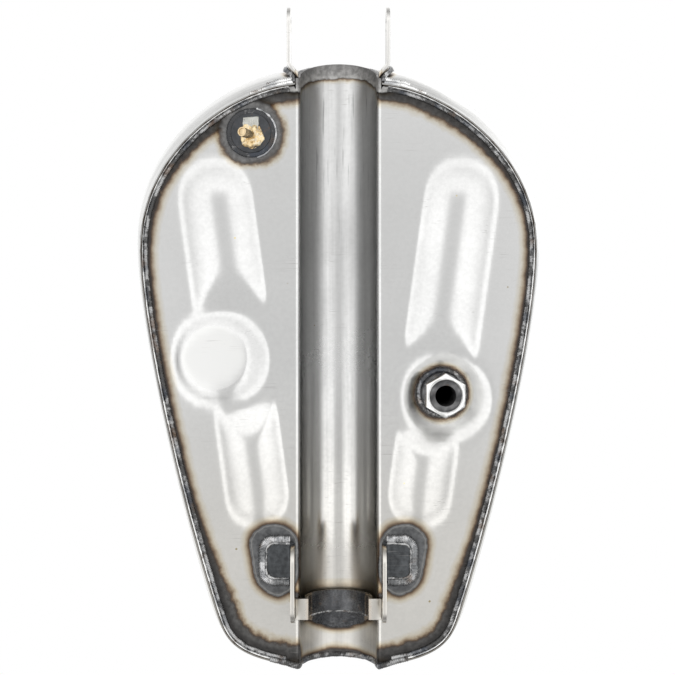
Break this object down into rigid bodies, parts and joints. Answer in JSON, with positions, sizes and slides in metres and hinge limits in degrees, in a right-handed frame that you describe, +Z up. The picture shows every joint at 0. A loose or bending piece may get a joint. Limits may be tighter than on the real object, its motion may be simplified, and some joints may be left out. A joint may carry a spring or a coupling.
{
  "type": "motorcycle fuel tank",
  "caption": "Teardrop fuel tank in bare steel with a half-round backbone tunnel, bolted ears front and rear, a threaded outlet with a union nut, a brazed vent tube and a screw cap.",
  "frame": {"origin": "middle of the front bolt hole's axis, halfway between the two front ears", "axes": "+X to the rider's left along the front bolt, +Y to the rear of the motorcycle, +Z up; the tank hangs on the frame's backbone below it"},
  "size_m": [0.2964, 0.469, 0.1992],
  "materials": {
    "bare_steel": "satin, heat-tinted beside the welds",
    "weld_bead": "rippled, blued and oxidised",
    "ground_weld": "dull grey, coarse ripples",
    "mill_scale": "dark blue-grey scale, matt",
    "machined_steel": "turned and milled",
    "brass": "drawn, lightly tarnished",
    "braze": "flowed, smooth",
    "gasket_rubber": "matt",
    "black_nylon": "moulded, matt",
    "chromed_cover": "polished"
  },
  "bodies": {
    "tank": {"top_shell": "bare_steel", "bottom_pan": "bare_steel", "seam_weld_left": "weld_bead", "seam_weld_right": "weld_bead", "tunnel_weld_front": "weld_bead", "tunnel_weld_rear": "weld_bead", "front_ear_left": "bare_steel", "front_ear_right": "bare_steel", "front_ear_weld_left": "weld_bead", "front_ear_weld_right": "weld_bead", "rear_bracket_left": "bare_steel", "rear_bracket_right": "bare_steel", "rear_bracket_weld_left": "weld_bead", "rear_bracket_weld_right": "weld_bead", "rear_saddle_strap": "mill_scale", "saddle_strap_weld": "ground_weld", "outlet_bung": "mill_scale", "outlet_bung_weld": "weld_bead", "vent_plate": "mill_scale", "vent_plate_weld": "weld_bead", "vent_tube": "brass", "vent_tube_braze": "braze", "vent_tube_plug": "brass", "filler_neck": "machined_steel", "filler_neck_weld": "weld_bead"},
    "gasket": {"cap_gasket": "gasket_rubber"},
    "cap": {"cap_plug": "black_nylon", "cap_cover": "chromed_cover"},
    "union_nut": {"outlet_union_nut": "machined_steel"}
  },
  "joints": [
    {"name": "cap_lift", "type": "slide", "parent": "tank", "child": "gasket", "axis": [0, 0, 1], "range_m": [0, 0.05]},
    {"name": "cap_turn", "type": "hinge", "parent": "gasket", "child": "cap", "pos_m": [0, 0.1825, 0.1427], "axis": [0, 0, 1], "range_deg": [0, 720]},
    {"name": "union_nut_turn", "type": "hinge", "parent": "tank", "child": "union_nut", "pos_m": [0.0738, 0.26339, -0.02425], "axis": [0.0525, 0.0583, -0.9969], "range_deg": [0, 720]}
  ]
}
